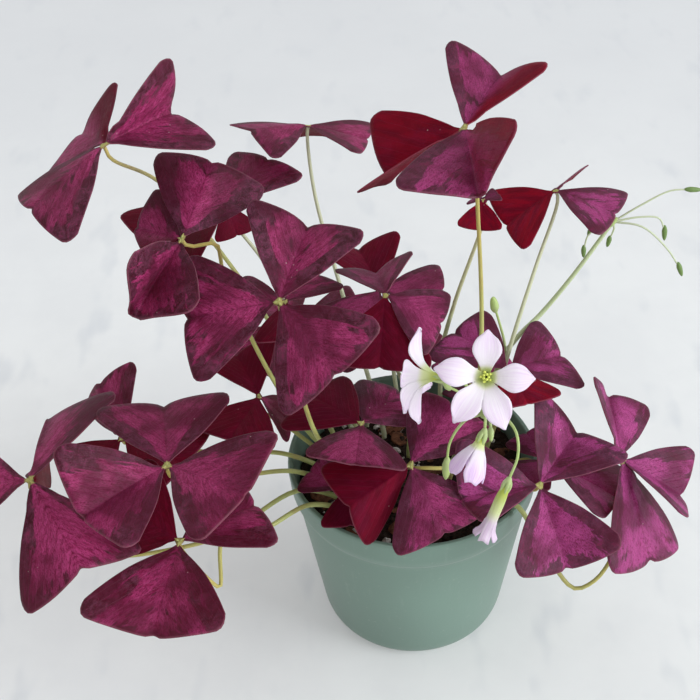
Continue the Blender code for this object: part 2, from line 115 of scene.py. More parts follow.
def wash_over(tree, base, mask, strength, colour):
    """A colour laid over the base where the mask is, at a strength."""
    return tint(tree, calc(tree, "MULTIPLY", mask, strength), base, colour)


def emboss(tree, shader, height, depth, strength=1.0):
    """Small relief in the surface, depth metres high."""
    feeds = {"Height": height, "Distance": depth, "Strength": strength}
    tree.links.new(node(tree, "Bump", feeds).outputs[0], shader.inputs["Normal"])


def rounded(profile):
    """The profile with its corners turned into short arcs."""
    line = []
    for i, (x, z, corner) in enumerate(profile):
        if corner == 0:
            line.append((x, z))
            continue
        at = np.array((x, z), float)
        ends = [np.array(profile[i + k][:2], float) - at for k in (-1, 1)]
        reach = [min(corner, 0.45 * np.linalg.norm(end)) for end in ends]
        first, last = [at + end / np.linalg.norm(end) * r for end, r in zip(ends, reach)]
        for k in range(CORNER_STEPS + 1):
            s = k / CORNER_STEPS
            line.append(tuple((1 - s) ** 2 * first + 2 * s * (1 - s) * at + s ** 2 * last))
    return line


def make_mesh(name, points, faces, finishes, edges=(), smooth=True):
    """A new mesh object."""
    mesh = bpy.data.meshes.new(name)
    mesh.from_pydata((np.asarray(points, float) * MM).tolist(), list(edges), faces)
    for finish in finishes:
        mesh.materials.append(finish)
    if smooth and faces:
        mesh.shade_smooth()
    piece = bpy.data.objects.new(name, mesh)
    bpy.context.scene.collection.objects.link(piece)
    return piece


def settle(piece):
    """The piece's modifiers made part of its mesh."""
    graph = bpy.context.evaluated_depsgraph_get()
    mesh = bpy.data.meshes.new_from_object(piece.evaluated_get(graph))
    piece.modifiers.clear()
    piece.data = mesh


plastic, tree, shader = new_finish("sage_plastic", 0.44, 0.42)
spot = place(tree)
cloud = mottle(tree, spot, 9.0, 3.0)
scuff = mottle(tree, node(tree, "Mapping", {"Vector": spot, "Scale": (260, 260, 30)}).outputs[0], 1.0, 5.0)
dust = ease(tree, mottle(tree, spot, 420.0, 2.0), 0.66, 0.74)
height = node(tree, "SeparateXYZ", {"Vector": spot}).outputs["Z"]
deep_green, pale_green = [tuple(share * c for c in POT_GREEN) for share in (0.93, 1.07)]
base = tint(tree, ease(tree, cloud, 0.3, 0.7), deep_green, pale_green)
# Painted shade: the pot is darker towards its foot, near the floor.
base = tint(tree, ease(tree, height, 0.0, 0.060, 0.45, 0.0), base, (0.105, 0.160, 0.135))
base = tint(tree, ease(tree, scuff, 0.60, 0.80, 0.0, 0.16), base, (0.30, 0.38, 0.33))
base = wash_over(tree, base, dust, 0.12, (0.42, 0.44, 0.38))
tree.links.new(base, shader.inputs["Base Color"])
tree.links.new(ease(tree, cloud, 0.2, 0.8, 0.38, 0.52), shader.inputs["Roughness"])
emboss(tree, shader, calc(tree, "ADD", mottle(tree, spot, 900.0, 2.0), scuff), 0.00006, 0.5)
shader.inputs["Sheen Weight"].default_value = 0.08

line = rounded(POT_PROFILE)
shell = make_mesh("pot_shell", [(x, 0, z) for x, z in line], [], [plastic],
                  [(i, i + 1) for i in range(len(line) - 1)])
turned = shell.modifiers.new("turned", "SCREW")
turned.steps = POT_TURNS
turned.render_steps = POT_TURNS
turned.use_merge_vertices = True
turned.merge_threshold = 0.00002
drills = bmesh.new()
for hole in range(DRAIN_HOLES):
    about = 2 * math.pi * hole / DRAIN_HOLES
    made = bmesh.ops.create_cone(drills, cap_ends=True, segments=DRAIN_SIDES, radius1=DRAIN_RADIUS * MM,
                                 radius2=DRAIN_RADIUS * MM, depth=DRAIN_DEPTH * MM)
    shift = (DRAIN_RING * MM * math.cos(about), DRAIN_RING * MM * math.sin(about), 0)
    bmesh.ops.translate(drills, verts=made["verts"], vec=shift)
drill_mesh = bpy.data.meshes.new("drain_drills")
drills.to_mesh(drill_mesh)
drills.free()
drill = bpy.data.objects.new("drain_drills", drill_mesh)
bpy.context.scene.collection.objects.link(drill)
drained = shell.modifiers.new("drained", "BOOLEAN")
drained.operation = "DIFFERENCE"
drained.solver = "EXACT"
drained.object = drill
settle(shell)
bpy.data.objects.remove(drill)
shell.data.set_sharp_from_angle(angle=math.radians(SHARP_ANGLE))
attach(shell, "root")
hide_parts("pot")

# The potting mix is dark peat with crumbs, flakes of composted bark and white popped perlite.
# It fills the pot to a little under the rim, and the loose bits lie pressed into its top.
MIX_LEVEL = 80.0
MIX_WALL = [(39.2, 2.7), (41.1, 6.2), (50.7, 73.6)]
MIX_RINGS = [52.0, 51.2, 50.2, 49, 47.5] + [46 - 1.4 * i for i in range(32)] + [0.6]
MIX_TURNS = 150
EDGE_FROM, EDGE_WIDTH, EDGE_SINK = 47.0, 5.0, 1.6
BITS_REACH, BITS_SINK = 49.5, 0.25
dice = random.Random(11)


def mix_top(x, y):
    """Height of the lumpy top of the potting mix."""
    swell = math.sin(0.31 * x + 1.3) * math.cos(0.27 * y - 0.4) + 0.6 * math.sin(0.53 * x - 0.41 * y)
    lumps = 0.35 * math.sin(1.7 * x + 0.6 * y) * math.sin(1.3 * y - 0.9 * x)
    lumps += 0.22 * math.sin(3.1 * x) * math.sin(2.9 * y)
    return MIX_LEVEL + 0.66 * swell + lumps


def speckled(name, dark, light, scale, roughness, depth):
    """A crumbly finish that runs between two colours."""
    finish, tree, shader = new_finish(name, roughness, 0.25)
    spot = place(tree)
    grain = mottle(tree, spot, scale, 6.0, 0.7)
    tree.links.new(tint(tree, ease(tree, grain, 0.3, 0.72), dark, light), shader.inputs["Base Color"])
    emboss(tree, shader, grain, depth)
    return finish


peat = speckled("damp_peat", (0.008, 0.005, 0.004), (0.050, 0.030, 0.020), 700.0, 0.9, 0.0012)
bark = speckled("composted_bark", (0.050, 0.018, 0.009), (0.230, 0.095, 0.048), 420.0, 0.8, 0.0006)
perlite = speckled("popped_perlite", (0.42, 0.40, 0.36), (0.80, 0.79, 0.76), 900.0, 0.85, 0.0005)

points = [(0, 0, MIX_WALL[0][1])]
rings = []
for r, z in MIX_WALL + [(r, None) for r in MIX_RINGS]:
    rings.append(len(points))
    for i in range(MIX_TURNS):
        about = 2 * math.pi * i / MIX_TURNS
        x, y = r * math.cos(about), r * math.sin(about)
        if z is None:
            edge = max(0.0, min(1.0, (r - EDGE_FROM) / EDGE_WIDTH))
            points.append((x, y, mix_top(x, y) - EDGE_SINK * edge ** 2))
        else:
            points.append((x, y, z))
faces = []
for i in range(MIX_TURNS):
    j = (i + 1) % MIX_TURNS
    faces.append((0, rings[0] + j, rings[0] + i))
    for low, high in zip(rings, rings[1:]):
        faces.append((low + i, low + j, high + j, high + i))
faces.append([rings[-1] + i for i in range(MIX_TURNS)])
mix = make_mesh("potting_mix_body", points, faces, [peat])
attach(mix, "root")
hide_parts("soil")


def scatter(name, finish, count, least, most, flat):
    """Small broken lumps strewn over the mix, each as high as a share, flat, of its width."""
    body = bmesh.new()
    for _ in range(count):
        r, about = BITS_REACH * math.sqrt(dice.random()), dice.uniform(0, 2 * math.pi)
        x, y = r * math.cos(about), r * math.sin(about)
        size = least + (most - least) * dice.random() ** 2
        lump = bmesh.ops.create_icosphere(body, subdivisions=1 if size < 2.2 else 2, radius=0.5)["verts"]
        turn, lean = dice.uniform(0, math.pi), dice.uniform(-0.5, 0.5)
        long = dice.uniform(1.0, 1.7)
        for v in lump:
            p = v.co * dice.uniform(0.78, 1.14)
            px, py, pz = p.x * long * size, p.y * size, p.z * size * flat
            pz += px * math.sin(lean) * 0.6
            v.co = (
                (x + px * math.cos(turn) - py * math.sin(turn)) * MM,
                (y + px * math.sin(turn) + py * math.cos(turn)) * MM,
                (mix_top(x, y) + pz + size * flat * (0.5 - BITS_SINK)) * MM,
            )
    mesh = bpy.data.meshes.new(name)
    body.to_mesh(mesh)
    body.free()
    mesh.materials.append(finish)
    piece = bpy.data.objects.new(name, mesh)
    bpy.context.scene.collection.objects.link(piece)
    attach(piece, "root")


scatter("peat_crumbs", peat, count=1100, least=0.9, most=3.4, flat=0.7)
scatter("bark_flakes", bark, count=95, least=2.5, most=11.0, flat=0.28)
scatter("perlite_grains", perlite, count=130, least=1.2, most=3.8, flat=0.85)

# Each blade is three wedge-shaped leaflets on one hub, thin and soft, dark plum with a magenta flash on
# each half, and deep red below where the light comes through. Leaflets fold along their midribs and droop.
BLADE_THICK = 0.5
LEAFLET_HALF = 39.0
LEAFLET_FROM = 2.2
FOLD_WIDTH = 0.10
NOTCH_DEPTH, NOTCH_WIDTH = 0.022, 0.06
# Each leaf: foot on the mix (x, y), points its petiole passes through, hub (x, y, z), leaflet length, and
# three leaflets (compass of the midrib, its rise, lift of its left and right halves, scale), in degrees.
LEAVES = [
    ((-21, -7), [(-33, -16, 104), (-43, -21, 128)], (-54, -25, 202), 44,
     [(70, 22, 35, 12), (180, -8, -40, 35), (309, -23, 45, -40)]),
    ((-31, -13), [(-52, -16, 99.5), (-78, -34, 116)], (-101, -60, 149), 45,
     [(97, -2, 5, 6, 1.05), (221, 3, 6, 50, 1.05), (325, 11, 20, -2, 1.05)]),
    ((-24, -30), [(-46, -35, 98), (-66, -50, 100), (-80.5, -58.5, 107), (-83.5, -61.5, 104),
                  (-85.2, -68, 84.5), (-87.5, -70, 89)],
     (-98, -75, 121), 47,
     [(259, -7, 19, 15, 1.07), (28, 8, -5, 0, 0.85), (146, 8, -60, 25, 0.86)]),
    ((-29, -22), [(-51, -26, 98), (-82, -42, 90), (-102, -46, 86), (-140, -50, 88)], (-157, -58, 142), 52,
     [(303, -17, -25, -40), (91, -8, -84, 22, 1.08), (181, -5, -10, 10)]),
    ((9, -24), [(14, -30, 104), (13.5, -36.5, 118), (6, -37, 119.5)], (-3, -35, 120), 38,
     [(300, -32, 10, -20), (49, 28, -15, -20), (213, -8, -70, 12)]),
    ((-13, -7), [(-17, -10, 105)], (-23, -15, 126), 36,
     [(264, 12, -6, 10), (54, -5, -5, -20), (136, 0, -10, -5)]),
    ((30, -18), [(39, -26, 97)], (52, -40, 110), 43,
     [(56, 5, 45, 0), (192, 5, 20, 48, 0.95), (287, -32, 30, 20)]),
    ((27, -27), [(42, -38, 97), (54, -47, 79), (68, -56, 61), (76, -56, 65), (83, -51, 71), (89, -40, 78),
                 (94.5, -29, 87), (94, -21.5, 98)],
     (91, -20, 104), 50,
     [(92, 19, 63, -30, 0.77), (345, -29, 26, 23, 0.76), (288, -41, -40, 36, 1.08)]),
    ((38, -8), [(50, -11, 97)], (60, -14, 99), 34,
     [(332, -14, -10, 20, 1.15), (120, 12, 0, 0, 0.6), (225, 8, 0, 0, 0.6)]),
    ((27, 4), [(30, 4, 150), (27, 7, 215)], (20, 5, 260), 47,
     [(60, 12, 32, 30, 0.87), (165, -41, 26, 44, 1.02), (272, -2, 64, 8, 1.07)]),
    ((34, 14), [(46, 22, 140), (56, 34, 170)], (65, 50, 200), 33,
     [(59, -12, -51, 51, 0.62), (193, -31, -5, 22, 0.93), (332, -7, -4, 3)]),
    ((15, 30), [(16, 39, 120), (21, 38, 148)], (31.5, 31, 209), 16,
     [(258, -30, 10, 10), (20, 12, 0, 0, 0.5), (140, -18, 0, 0, 0.45)]),
    ((-33, 14), [(-48, 30, 112), (-74, 56, 150), (-104, 61, 200)], (-119, 10, 255), 44,
     [(50, -3, 98, -11), (116, -18, -35, 43, 0.96), (213, -23, -7, -19)]),
    ((-30, 4), [(-44, 6, 98), (-62, 6, 138), (-77.5, 3.6, 196), (-78.2, 3.2, 207), (-79.2, 2.8, 211.5)],
     (-92, 0, 216), 41,
     [(67, 33, 1, -36, 1.02), (143, -6, -94, 37, 0.74), (246, -10, 22, 96, 1.2)]),
    ((-26, 24), [(-46, 36, 125), (-62, 48, 165)], (-78.5, 50, 199), 38,
     [(51, 17, -9, 1, 0.94), (219, -4, 12, 6, 1.2), (300, -50, 0, 0, 0.45)]),
    ((-12, 24), [(-30, 52, 150), (-40, 74, 186)], (-42, 90, 213), 31,
     [(210, 16, -9, -16, 1.12), (349, -8, -9, 12, 1.04), (92, -40, -10, -10, 0.8)]),
    ((-1, 11), [(1, 17, 110), (0, 17, 130)], (-11, 10, 177), 37,
     [(97, -14, 14, 30, 0.85), (343, -22, 5, -15, 0.85), (261, -38, 0, 0)]),
    ((-4, 32), [(-8, 42, 120)], (-12, 50, 149), 34,
     [(108, 10, 20, 20), (0, 0, 0, 0), (240, 0, 0, 0)]),
    ((30, -4), [(38, 2, 110)], (43, 8, 134), 36,
     [(138, 14, 0, 0), (28, -6, 21, -10, 0.95), (285, 2, 0, 0, 0.75)]),
    ((-22, -18), [(-28, -22, 92)], (-31, -27, 99), 21,
     [(275, -14, 0, 0), (150, 10, 0, 0), (35, 0, 0, 0)]),
    ((-37, -3), [(-57, -4, 99), (-90, -6, 104)], (-128, -10, 118), 38,
     [(114, 26, -70, 44, 0.9), (218, -12, 0, 0, 0.8), (330, 0, 0, 0)]),
    ((-38, 6), [(-52, 8, 100)], (-68, 10, 122), 34,
     [(115, 15, 20, 20, 0.9), (245, 0, 0, 0), (0, -50, 0, 0, 0.7)]),
    ((-20, 14), [(-40, 22, 125)], (-54, 20, 167), 28,
     [(60, 0, 0, 0), (165, 0, 0, 0), (280, 0, 0, 0)]),
    ((24, 26), [(27, 32, 90)], (30, 38, 99), 30,
     [(20, -5, 10, 10), (120, 15, 10, 10, 0.7), (235, 5, 10, 0, 0.5)]),
    ((2, 40), [(-5, 56, 98)], (-10, 72, 106), 36,
     [(85, -20, 15, 15), (205, -5, 15, 5), (320, -5, 5, 15, 0.8)]),
    ((-20, 33), [(-38, 47, 101)], (-52, 68, 116), 40,
     [(120, -10, 15, 15), (225, -5, 10, 5), (10, 5, 5, 10, 0.9)]),
]
# Painted shade: leaflets that face away from the light or lie under other leaves are painted deep red
# instead, as shaded leaf with light coming through, by leaf and compass: the whole of one, a half, or towards
# an edge.
PAINTED_SHADE = {
    (3, 146): "all", (5, 213): "all", (6, 136): "all", (10, 60): "right", (10, 165): "all",
    (10, 272): "left edge", (11, 193): "all", (12, 258): "all", (13, 116): "right", (14, 143): "left",
    (15, 219): "all", (15, 300): "all", (17, 261): "all", (18, 108): "all", (19, 285): "all",
    (20, 275): "all", (21, 218): "all", (21, 330): "all", (22, 115): "all", (22, 245): "all",
    (23, 280): "all",
}
LEAF_ROWS = 15
LEAF_COLUMNS = [0, 0.03, 0.09, 0.17, 0.26, 0.36, 0.46, 0.56, 0.66, 0.75, 0.82, 0.88, 0.93, 0.97, 1]


def unit(vector):
    return vector / np.linalg.norm(vector)


def lobe_reach(q):
    """A leaflet's reach, as a share of its length, at a share q of the way from its notch to its side."""
    return 0.865 + 0.09 * q + 0.10 * q ** 2 - 0.15 * max(0.0, (q - 0.80) / 0.20) ** 2.2


def leaflet(length, heading, rise, left, right, scale, seed):
    """Rows of points of one leaflet about its hub, and of what its finish reads at each point."""
    size = length * scale
    h, e = math.radians(heading), math.radians(rise)
    along = np.array([math.cos(e) * math.cos(h), math.cos(e) * math.sin(h), math.sin(e)])
    side = np.array([-math.sin(h), math.cos(h), 0])
    up = np.cross(along, side)
    rows, marks = [], []
    for i in range(LEAF_ROWS + 1):
        s = LEAFLET_FROM / size + (1 - LEAFLET_FROM / size) * (i / LEAF_ROWS) ** 0.9
        opened = min(1.0, max(0.0, (s - 0.04) / 0.2))
        spread = 1.13 * (1 - 0.48 * math.exp(-(s - 0.04) / 0.10)) - 0.11 * max(0.0, s - 0.5) * 2
        row, mark = [], []
        for t in [-t for t in LEAF_COLUMNS[:0:-1]] + LEAF_COLUMNS:
            hand = 1 if t >= 0 else -1
            q = abs(t)
            lift = math.radians(left if hand > 0 else right) * opened * (1 - math.exp(-q / FOLD_WIDTH))
            across = hand * math.cos(lift) * side + math.sin(lift) * up
            out = math.cos(lift) * up - hand * math.sin(lift) * side
            turn = q * math.radians(LEAFLET_HALF) * spread
            notch = NOTCH_DEPTH * math.exp(-(q / NOTCH_WIDTH) ** 2) * s ** 4
            reach = s * (lobe_reach(q) - notch) * size
            u, v = reach * math.cos(turn), reach * math.sin(turn)
            swell = 0.022 * math.sin(math.pi * q ** 0.8) * s ** 1.3 * (1 + 0.5 * math.sin(seed))
            ripple = 0.006 * math.sin(9.0 * q + 2.1 * seed) * s ** 2 * q
            ripple += 0.007 * math.sin(6.5 * s + 3.0 * t + 1.7 * seed) * s
            hem = -0.016 * s ** 7
            lift_off = size * (swell + ripple + hem)
            droop = -0.05 * size * (u / size) ** 2
            row.append(u * along + v * across + droop * up + lift_off * (out if q > 0 else up))
            mark.append((u / size, v / size, seed, s, q))
        rows.append(row)
        marks.append(mark)
    return rows, marks


def stored(tree, name):
    """The three numbers that are kept under a name at each point of a piece."""
    kept = node(tree, "Attribute", attribute_name=name).outputs["Vector"]
    return node(tree, "SeparateXYZ", {0: kept}).outputs


def let_through(tree, shader, share, colour):
    """Part of the light passes through the thin skin, tinted with a colour."""
    through = node(tree, "BsdfTranslucent", {"Color": colour})
    whole = node(tree, "MixShader", {0: share, 1: shader.outputs[0], 2: through.outputs[0]})
    tree.links.new(whole.outputs[0], tree.nodes["Material Output"].inputs["Surface"])


def leaf_finish(name, below):
    """The leaf's skin: plum margins netted with pink, a magenta flash, veins, specks and a fine pale edge."""
    finish, tree, shader = new_finish(name, 0.52, 0.42)
    along, across, seed = stored(tree, "leaf_place")
    out, side, cover = stored(tree, "leaf_edge")
    painted_window_light, dusk, painted_shade = stored(tree, "leaf_tone_and_painted_light")
    spot = place(tree)
    slant = calc(tree, "SUBTRACT", along, calc(tree, "MULTIPLY", across, 1.15))

    def flow(u, v):
        """A point's place in a pattern drawn out along the veins."""
        x, y = calc(tree, "MULTIPLY", slant, u), calc(tree, "MULTIPLY", across, v)
        return node(tree, "CombineXYZ", {"X": x, "Y": y, "Z": seed}).outputs[0]

    broad = mottle(tree, flow(6.0, 3.4), 1.0, 3.0, 0.6, 0.7)
    ragged = mottle(tree, flow(26.0, 13.0), 1.0, 6.0, 0.74, 1.0)
    net = mottle(tree, spot, 230.0, 7.0, 0.76, 0.7)
    cloud = mottle(tree, spot, 55.0, 2.0)
    fleck = mottle(tree, flow(64.0, 90.0), 1.0, 5.0, 0.70, 0.4)
    fine = mottle(tree, spot, 1500.0, 2.0)
    bent = calc(tree, "ADD", calc(tree, "MULTIPLY", slant, 9.5), mottle(tree, flow(6.0, 2.0), 1.0, 2.0))
    line = calc(tree, "PINGPONG", bent, 0.5)
    veins = calc(tree, "MULTIPLY", ease(tree, line, 0.0, 0.045, 1.0, 0.0), ease(tree, across, 0.0, 0.05))
    midrib = ease(tree, across, 0.0, 0.010, 1.0, 0.0)
    rim = calc(tree, "MAXIMUM", ease(tree, out, 0.980, 0.997), ease(tree, side, 0.980, 1.0))
    green = ease(tree, along, 0.030, 0.052, 1.0, 0.0)
    if below:
        base = tint(tree, ease(tree, broad, 0.3, 0.7), (0.090, 0.003, 0.014), (0.230, 0.006, 0.028))
        base = wash_over(tree, base, ease(tree, net, 0.45, 0.65), 0.30, (0.045, 0.003, 0.010))
        base = wash_over(tree, base, veins, 0.30, (0.30, 0.02, 0.03))
        base = wash_over(tree, base, midrib, 0.6, (0.34, 0.05, 0.05))
        glow, share, vein_height = (0.62, 0.006, 0.022, 1), 0.45, 1.4
    else:
        margin = calc(tree, "MAXIMUM", ease(tree, side, 0.42, 0.90), ease(tree, out, 0.84, 1.02, 0.0, 0.70))
        dark = calc(tree, "ADD", margin, calc(tree, "MULTIPLY", calc(tree, "SUBTRACT", broad, 0.5), 3.0))
        dark = calc(tree, "ADD", dark, calc(tree, "MULTIPLY", calc(tree, "SUBTRACT", ragged, 0.5), 1.5))
        dark = calc(tree, "ADD", dark, cover)
        dark = calc(tree, "ADD", dark, ease(tree, along, 0.05, 0.26, 0.35, 0.0))
        plum = ease(tree, dark, 0.38, 0.56)
        flash = tint(tree, ease(tree, ragged, 0.34, 0.62), (0.215, 0.009, 0.066), (0.480, 0.052, 0.200))
        # Painted light: leaves further right, towards the window, are painted cooler and lighter in their
        # flash, plum and deep red.
        flash = wash_over(tree, flash, painted_window_light, 0.70, (0.500, 0.085, 0.350))
        flash = wash_over(tree, flash, ease(tree, net, 0.54, 0.62), 0.45, (0.120, 0.007, 0.040))
        flash = tint(tree, ease(tree, fleck, 0.52, 0.58, 0.0, 0.72), flash, (0.080, 0.005, 0.028))
        shade = tint(tree, ease(tree, net, 0.40, 0.60), (0.028, 0.004, 0.012), (0.118, 0.032, 0.066))
        shade = wash_over(tree, shade, painted_window_light, 0.35, (0.170, 0.050, 0.125))
        shade = wash_over(tree, shade, ease(tree, net, 0.56, 0.63), 0.60, (0.280, 0.024, 0.100))
        shade = tint(tree, ease(tree, fleck, 0.38, 0.44, 0.62, 0.0), shade, (0.330, 0.034, 0.125))
        base = tint(tree, plum, flash, shade)
        base = tint(tree, ease(tree, cloud, 0.38, 0.60, 0.70, 0.0), base, (0.062, 0.002, 0.018))
        base = wash_over(tree, base, dusk, 0.6, (0.085, 0.003, 0.022))
        # Painted shade: leaflets listed as shaded are painted this deep red, as shaded leaf with light coming
        # through it.
        painted_shade_red = tint(tree, ease(tree, ragged, 0.30, 0.70), (0.065, 0.001, 0.009), (0.160, 0.002, 0.022))
        painted_shade_red = tint(tree, ease(tree, painted_window_light, 0.0, 0.6, 0.0, 0.8), painted_shade_red, (0.290, 0.002, 0.016))
        painted_shade_red = tint(tree, ease(tree, broad, 0.35, 0.65, 0.6, 0.0), painted_shade_red, (0.055, 0.001, 0.008))
        base = wash_over(tree, base, painted_shade, 0.92, painted_shade_red)
        base = wash_over(tree, base, veins, 0.14, (0.34, 0.03, 0.12))
        base = wash_over(tree, base, midrib, 0.35, (0.09, 0.004, 0.026))
        bits = node(tree, "TexVoronoi", {"Vector": spot, "Scale": 300.0}).outputs["Distance"]
        few = ease(tree, mottle(tree, spot, 60.0, 1.0), 0.60, 0.68)
        base = wash_over(tree, base, ease(tree, bits, 0.05, 0.11, 0.8, 0.0), few, (0.62, 0.48, 0.46))
        glow, share, vein_height = (0.46, 0.004, 0.040, 1), 0.22, -0.5
    base = wash_over(tree, base, rim, 0.40, (0.34, 0.11, 0.16))
    base = tint(tree, green, base, (0.42, 0.40, 0.13))
    tree.links.new(base, shader.inputs["Base Color"])
    grain = calc(tree, "ADD", calc(tree, "MULTIPLY", fine, 0.3), calc(tree, "MULTIPLY", veins, vein_height))
    emboss(tree, shader, calc(tree, "ADD", grain, calc(tree, "MULTIPLY", net, 0.9)), 0.0004, 0.6)
    tree.links.new(ease(tree, net, 0.3, 0.7, 0.42, 0.62), shader.inputs["Roughness"])
    tree.links.new(ease(tree, painted_shade, 0.0, 1.0, 0.20, 0.06), shader.inputs["Specular IOR Level"])
    shader.inputs["Sheen Weight"].default_value = 0.05
    shader.inputs["Sheen Roughness"].default_value = 0.45
    shader.inputs["Sheen Tint"].default_value = (0.80, 0.62, 0.72, 1)
    let_through(tree, shader, share, glow)
    return finish


def note(piece, name, values):
    """A named value or vector at each point of the piece, which its finish reads."""
    layer = piece.data.attributes.new(name, "FLOAT_VECTOR", "POINT")
    layer.data.foreach_set("vector", np.asarray(values, np.float32).ravel())


leaf_top = leaf_finish("leaf_upper_skin", below=False)
leaf_under = leaf_finish("leaf_under_skin", below=True)
columns = len(LEAF_COLUMNS) - 1
fade = [0] * columns + [min(1.0, 1.8 * q) for q in LEAF_COLUMNS]
brink = [0] * columns + [0.75 * q ** 1.5 for q in LEAF_COLUMNS]
PAINTED_SHADE_SHARES = {"all": [1] * len(fade), "left": fade, "right": fade[::-1], "left edge": brink}
hubs = []
for number, (_, _, hub, length, leaflets) in enumerate(LEAVES, 1):
    hub = np.array(hub, float)
    cover = dice.uniform(-0.16, 0.20)
    # Painted light: the share of cooler, lighter colour grows with the leaf's place to the right.
    painted_window_light = min(1.0, max(0.0, (hub[0] + 30) / 110)) * dice.uniform(0.7, 1.0)
    dusk = dice.uniform(0.0, 0.35)
    fans, tones = [], [(painted_window_light, dusk, 0)]
    for spec in sorted(leaflets, key=lambda spec: spec[0]):
        scale = spec[4] if len(spec) > 4 else 1.0
        fans.append(leaflet(length, *spec[:4], scale, dice.uniform(0, 40)))
        # Painted shade: which points of this leaflet are painted deep red as shaded.
        shares = PAINTED_SHADE_SHARES.get(PAINTED_SHADE.get((number, spec[0])), [0] * len(fade))
        tones += [(painted_window_light, dusk, share) for share in shares] * (LEAF_ROWS + 1)
    roots = [rows[0][columns] for rows, _ in fans]
    middle = sum(roots) / 3
    upward = unit(np.cross(roots[1] - roots[0], roots[2] - roots[0]))
    points = [middle]
    marks = [(0, 0, 0, 0, 0)]
    faces, ring = [], []
    for rows, noted in fans:
        start, width = len(points), len(rows[0])
        for row, mark in zip(rows, noted):
            points += row
            marks += mark
        ring += [start + i for i in range(width)]
        for r in range(LEAF_ROWS):
            for c in range(width - 1):
                a = start + r * width + c
                faces.append((a, a + width, a + width + 1, a + 1))
    faces += [(0, ring[i], ring[(i + 1) % len(ring)]) for i in range(len(ring))]
    blade = make_mesh(f"blade_{number:02d}", [hub + p for p in points], faces, [leaf_top, leaf_under])
    marks = np.array(marks)
    note(blade, "leaf_place", marks[:, :3])
    note(blade, "leaf_edge", np.column_stack([marks[:, 3:5], np.full(len(marks), cover)]))
    note(blade, "leaf_tone_and_painted_light", tones)
    thick = blade.modifiers.new("thickness", "SOLIDIFY")
    thick.thickness = BLADE_THICK * MM
    thick.offset = 0
    thick.material_offset = 1
    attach(blade, "root")
    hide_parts(f"leaf_{number:02d}_blade")
    hubs.append((hub + middle, upward, [hub + rows[1][columns] for rows, _ in fans]))

# Each petiole is a soft round stalk, pale yellow-green and browner towards its top, that rises from the mix
# and ends under the blade's hub in three short swollen joints, one for each leaflet.
FOOT_R, TOP_R, NECK = 1.25, 0.75, 5.0
JOINT_AT, JOINT_R = (0.2, 0.4, 0.6), (0.45, 0.5, 0.38, 0.15)
ROOTED, UPRIGHT = 7.7, 3.0
TUBE_SEAM = (0.31, 0.87, 0.38)


def smooth_path(points, pieces, lead=None):
    """A smooth line through the points, cut into equal pieces. It sets off along lead, if that is given."""
    p = np.array(points, float)
    before = 2 * p[0] - p[1] if lead is None else p[0] - np.array(lead, float)
    p = np.vstack([before, p, 2 * p[-1] - p[-2]])
    knots = np.concatenate([[0], np.cumsum(np.linalg.norm(np.diff(p, axis=0), axis=1) ** 0.5)])
    line = []
    for i in range(1, len(p) - 2):
        t0, t1, t2, t3 = knots[i - 1:i + 3]
        for t in np.linspace(t1, t2, 16, endpoint=False):
            a1 = (t1 - t) / (t1 - t0) * p[i - 1] + (t - t0) / (t1 - t0) * p[i]
            a2 = (t2 - t) / (t2 - t1) * p[i] + (t - t1) / (t2 - t1) * p[i + 1]
            a3 = (t3 - t) / (t3 - t2) * p[i + 1] + (t - t2) / (t3 - t2) * p[i + 2]
            b1 = (t2 - t) / (t2 - t0) * a1 + (t - t0) / (t2 - t0) * a2
            b2 = (t3 - t) / (t3 - t1) * a2 + (t - t1) / (t3 - t1) * a3
            line.append((t2 - t) / (t2 - t1) * b1 + (t - t1) / (t2 - t1) * b2)
    line.append(p[-2])
    line = np.array(line)
    run = np.concatenate([[0], np.cumsum(np.linalg.norm(np.diff(line, axis=0), axis=1))])
    return np.array([[np.interp(d, run, line[:, k]) for k in range(3)]
                     for d in np.linspace(0, run[-1], pieces + 1)])


def tube(body, path, radii, sides=10, tone=0):
    """A closed round stalk added to body: its points, the run, turn and tone of each, and its faces."""
    points, shares, faces = body
    path = np.asarray(path, float)
    tangents = [unit(t) for t in np.gradient(path, axis=0)]
    across = unit(np.cross(tangents[0], TUBE_SEAM))
    start = len(points)
    for i, (at, tangent) in enumerate(zip(path, tangents)):
        across = unit(across - tangent * (across @ tangent))
        other = np.cross(tangent, across)
        for k in range(sides):
            about = 2 * math.pi * k / sides
            points.append(at + radii[i] * (math.cos(about) * across + math.sin(about) * other))
            shares.append((i / (len(path) - 1), k / sides, tone))
    for i in range(len(path) - 1):
        for k in range(sides):
            a, b = start + i * sides + k, start + i * sides + (k + 1) % sides
            faces.append((a, b, b + sides, a + sides))
    faces.append([start + k for k in range(sides)][::-1])
    faces.append([start + (len(path) - 1) * sides + k for k in range(sides)])


def rooted(foot, points, pieces):
    """A stalk's line: straight up out of the mix, then smoothly through the points."""
    x, y = foot
    line = smooth_path([(x, y, MIX_LEVEL + UPRIGHT), *points], pieces, (0, 0, 12))
    return np.vstack([(x, y, MIX_LEVEL - ROOTED), line])


